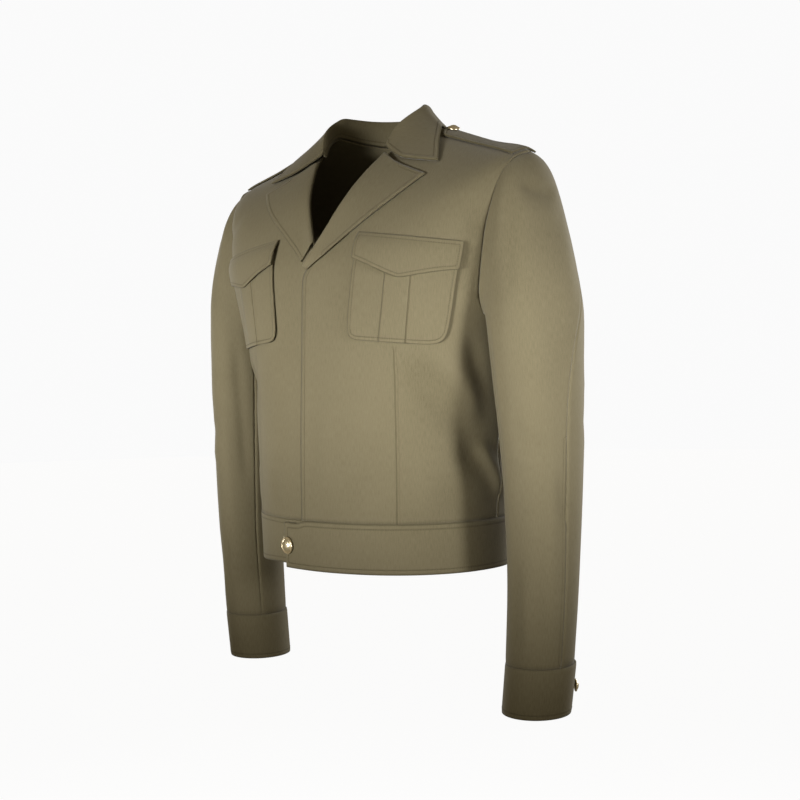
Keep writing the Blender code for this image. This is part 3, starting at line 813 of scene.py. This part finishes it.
def pleat_lines(place):
    """How deep the two edges of the pleat are, which also darkens them as painted shade, and how high
    it stands between them.
    """
    x = abs(place.part("X"))
    z = place.part("Z")
    inner = x - (PLEAT_INNER[0] + z * PLEAT_INNER[1])
    outer = x - (PLEAT_OUTER[0] + z * PLEAT_OUTER[1])
    depth = inner.near(0, PLEAT_EDGE) + outer.near(0, PLEAT_EDGE)
    return depth, (inner.step(0, PLEAT_EDGE) - outer.step(-PLEAT_EDGE, 0)) * PLEAT_RISE


pocket_serge = serge_cloth("serge_pockets", pleat_lines)
for name in ("left", "right"):
    pocket, size = tailor(
        "pocket_" + name,
        (0, 0, -0.2),
        POCKET_CLOTH,
        let_out=0.0,
        ironing=2,
        seen=CHEST_FOLDS,
        sewn=all_round,
        welt=0.0045,
    )
    pocket.data.materials[0] = pocket_serge

# The pocket flaps
# A pointed flap of serge over each pocket, sewn on along its top and stitched round its edge. A
# hidden button under the point holds it down.
FLAP_CLOTH = 0.0016

for name in ("left", "right"):
    flap, size = tailor(
        "flap_" + name,
        (0, 0, -0.15),
        FLAP_CLOTH,
        let_out=0.0,
        seen=CHEST_FOLDS,
        sewn=all_round,
        welt=0.0045,
    )

# The shoulder straps
# A strap of doubled serge along each shoulder, sewn into the armhole seam and buttoned near the
# collar, with its edge stitched and its end cut to a blunt point.
STRAP_CLOTH = 0.0021
SETTLED = (0.165, 0.044)  # from which x outwards the strap is lowered, and over what length
SETTLED_BY = 0.0005
SETTLED_ASIDE = 0.085  # how much more it is lowered for each metre from its middle line
STRAP_HALF = 0.020
CUT_BACK = (0.205, 0.011)  # from which x outwards the strap is made shorter, and over what length
CUT_BACK_BY = 0.0021
SHOULDER_SLOPE = 0.4


def settle(points):
    """Lowers the outer end of a strap to the shoulder, and ends it at the armhole seam."""
    x = np.abs(points[:, 0])
    aside = np.minimum(np.abs(points[:, 1]), STRAP_HALF)
    inward = gentle((x - CUT_BACK[0]) / CUT_BACK[1]) * CUT_BACK_BY
    down = gentle((x - SETTLED[0]) / SETTLED[1]) * (SETTLED_BY + SETTLED_ASIDE * aside)
    down -= inward * SHOULDER_SLOPE
    return points - np.stack([inward * np.sign(points[:, 0]), np.zeros_like(down), down], axis=1)


for name, side in (("left", 1), ("right", -1)):
    strap, size = tailor(
        "epaulet_" + name,
        (0.155 * side, 0, -0.25),
        STRAP_CLOTH,
        let_out=0.0,
        settled=settle,
        sewn=all_round,
        welt=0.0045,
        along=(1, 0, 0),
    )

# The stitching
# Lockstitch in a thread a little darker than the serge, nine stitches to the inch, sunk into the
# cloth. Each stitch is a small tapered bead along its row.
STITCH = 0.0028
STITCH_GAP = 0.0006
THREAD = 0.00024
THREAD_DARK = (0.070, 0.056, 0.030, 1)
THREAD_LIGHT = (0.135, 0.112, 0.066, 1)
BEAD_FULL = 0.6  # the share of a bead's length that has its full thickness
BEAD_ARCH = 0.2  # how far its middle stands up, as a share of the thread


def stitch_row(row):
    """The corners of the beads along one row: for each, an end, two rings of four and an end."""
    steps = np.linalg.norm(np.diff(row[:, :3], axis=0), axis=1)
    run = np.concatenate([[0], np.cumsum(steps)])
    beads = []
    for number in range(int(run[-1] / STITCH)):
        first = number * STITCH + STITCH_GAP / 2
        last = first + STITCH - STITCH_GAP
        start = np.array([np.interp(first, run, row[:, k]) for k in range(6)])
        end = np.array([np.interp(last, run, row[:, k]) for k in range(3)])
        start, up = start[:3], start[3:] / np.linalg.norm(start[3:])
        ahead = (end - start) / (np.linalg.norm(end - start) + TINY)
        across = np.cross(ahead, up)
        middle = (start + end) / 2 + up * THREAD * BEAD_ARCH
        half = (end - start) / 2
        ring = (across * THREAD, up * THREAD, -across * THREAD, -up * THREAD)
        bead = [start - up * THREAD]
        bead += [middle - half * BEAD_FULL + point for point in ring]
        bead += [middle + half * BEAD_FULL + point for point in ring]
        bead.append(end - up * THREAD)
        beads.append(bead)
    return beads


corners = []
faces = []
for row in stitch_rows:
    for bead in stitch_row(row):
        first = len(corners)
        corners += bead
        for k in range(4):
            after = (k + 1) % 4
            faces.append((first, first + 1 + after, first + 1 + k))
            faces.append((first + 1 + k, first + 1 + after, first + 5 + after, first + 5 + k))
            faces.append((first + 5 + k, first + 5 + after, first + 9))
mesh = bpy.data.meshes.new("stitching")
mesh.from_pydata([tuple(corner) for corner in corners], [], faces)
mesh.validate()
stitching = bpy.data.objects.new("stitching", mesh)
bpy.context.scene.collection.objects.link(stitching)
pick(stitching)
bpy.ops.object.mode_set(mode="EDIT")
bpy.ops.mesh.select_all(action="SELECT")
bpy.ops.mesh.normals_make_consistent(inside=False)
bpy.ops.mesh.faces_shade_smooth()
bpy.ops.object.mode_set(mode="OBJECT")
thread, finish, wire = blank_material("thread")
speckle = wire.noise(wire.make("ShaderNodeTexCoord", {}, {}, "Object"), 900.0)
join(speckle.blend(THREAD_DARK, THREAD_LIGHT), finish["Base Color"])
finish["Roughness"].default_value = 0.7
stitching.data.materials.append(thread)
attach(stitching, "root")

# The buttons
# Pale brass buttons with a plain dome inside a raised rim, pressed from sheet and held by a shank
# through the cloth. The rim is polished by use and the ring inside it is dull.
BRASS = (0.86, 0.75, 0.52, 1)
BRASS_DULL = (0.45, 0.35, 0.20, 1)

# The button's measures are shares of its radius. The back has a flat middle, the groove runs round
# inside the rim, and its tarnish begins above a height that leaves the back clean.
BUTTON_BACK = 0.3
BUTTON_BEVEL = 0.012
GROOVE = 0.84
GROOVE_WIDTH = 0.05
FACE_FROM = 0.2

# Rings of the button from its back to its crown: radius and height
BUTTON_RINGS = [
    (BUTTON_BACK, 0.05),
    (0.93, 0.06),
    (1.0, 0.12),
    (1.0, 0.20),
    (0.96, 0.27),
    (0.90, 0.28),
    (0.86, 0.24),
    (0.82, 0.235),
    (0.76, 0.30),
    (0.64, 0.41),
    (0.48, 0.50),
    (0.30, 0.56),
    (0.12, 0.585),
]

brass, finish, wire = blank_material("brass")
place = wire.make("ShaderNodeTexCoord", {}, {}, "Object")
tarnish = wire.noise(place, 420.0, 4.0)
scratches = wire.noise(place, 2600.0)
dull = wire.kept("groove") * 0.75 + tarnish.step(0.45, 0.8) * 0.35
join(dull.blend(BRASS, BRASS_DULL), finish["Base Color"])
join(0.27 + dull * 0.3 + scratches * 0.1, finish["Roughness"])
join(wire.bump(scratches * 0.00003, 0.3), finish["Normal"])
finish["Metallic"].default_value = 1.0


def press_button(node):
    """A button on the place of its solid, facing the same way."""
    points = points_of(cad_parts[node])
    middle = points.mean(0)
    way = np.linalg.svd(points - middle, full_matrices=False)[2][2]
    if "epaulet" in node:
        outward = np.array([0, 0, 1.0])
    elif "cuff" in node:
        outward = middle - np.array([math.copysign(WRIST[0], middle[0]), WRIST[1], middle[2]])
    else:
        outward = np.array([0, -1.0, 0])
    if way @ outward < 0:
        way = -way
    depth = (points - middle) @ way
    across = points - middle - depth[:, None] * way
    foot = middle + way * depth.min()
    radius = np.linalg.norm(across, axis=1).max()
    deep = (depth.max() - depth.min()) / BUTTON_RINGS[-1][1]

    bpy.ops.object.select_all(action="DESELECT")
    bpy.ops.mesh.primitive_circle_add(vertices=48, radius=BUTTON_BACK, fill_type="NGON")
    button = bpy.context.object
    bpy.ops.object.mode_set(mode="EDIT")
    bpy.ops.mesh.select_mode(type="FACE")
    bpy.ops.mesh.select_all(action="SELECT")
    bpy.ops.mesh.flip_normals()
    size, height = BUTTON_BACK, 0.0
    for ring, rise in BUTTON_RINGS:
        bpy.ops.mesh.extrude_region_move(TRANSFORM_OT_translate={"value": (0, 0, rise - height)})
        bpy.ops.transform.resize(value=(ring / size, ring / size, 1))
        size, height = ring, rise
    bpy.ops.mesh.select_all(action="SELECT")
    bpy.ops.mesh.normals_make_consistent(inside=False)
    bpy.ops.mesh.faces_shade_smooth()
    bpy.ops.object.mode_set(mode="OBJECT")
    rounded = {"width": BUTTON_BEVEL, "segments": 2, "limit_method": "ANGLE"}
    finish_with(button, "BEVEL", angle_limit=math.radians(35), **rounded)

    local = points_of(button)
    from_groove = (np.hypot(local[:, 0], local[:, 1]) - GROOVE) / GROOVE_WIDTH
    store(button, "groove", np.exp(-(from_groove**2)) * (local[:, 2] > FACE_FROM))
    turn = Vector((0, 0, 1)).rotation_difference(Vector(way)).to_matrix().to_4x4()
    scale = Matrix.Diagonal((radius, radius, deep, 1))
    button.data.transform(Matrix.Translation(foot) @ turn @ scale)
    button.matrix_world = Matrix.Identity(4)
    button.name = node + "_brass"
    button.data.materials.append(brass)
    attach(button, "root")
    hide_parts(node)


press_button("button_waist")
for name in ("left", "right"):
    press_button("button_epaulet_" + name)
for name in ("left", "right"):
    press_button("button_cuff_" + name)
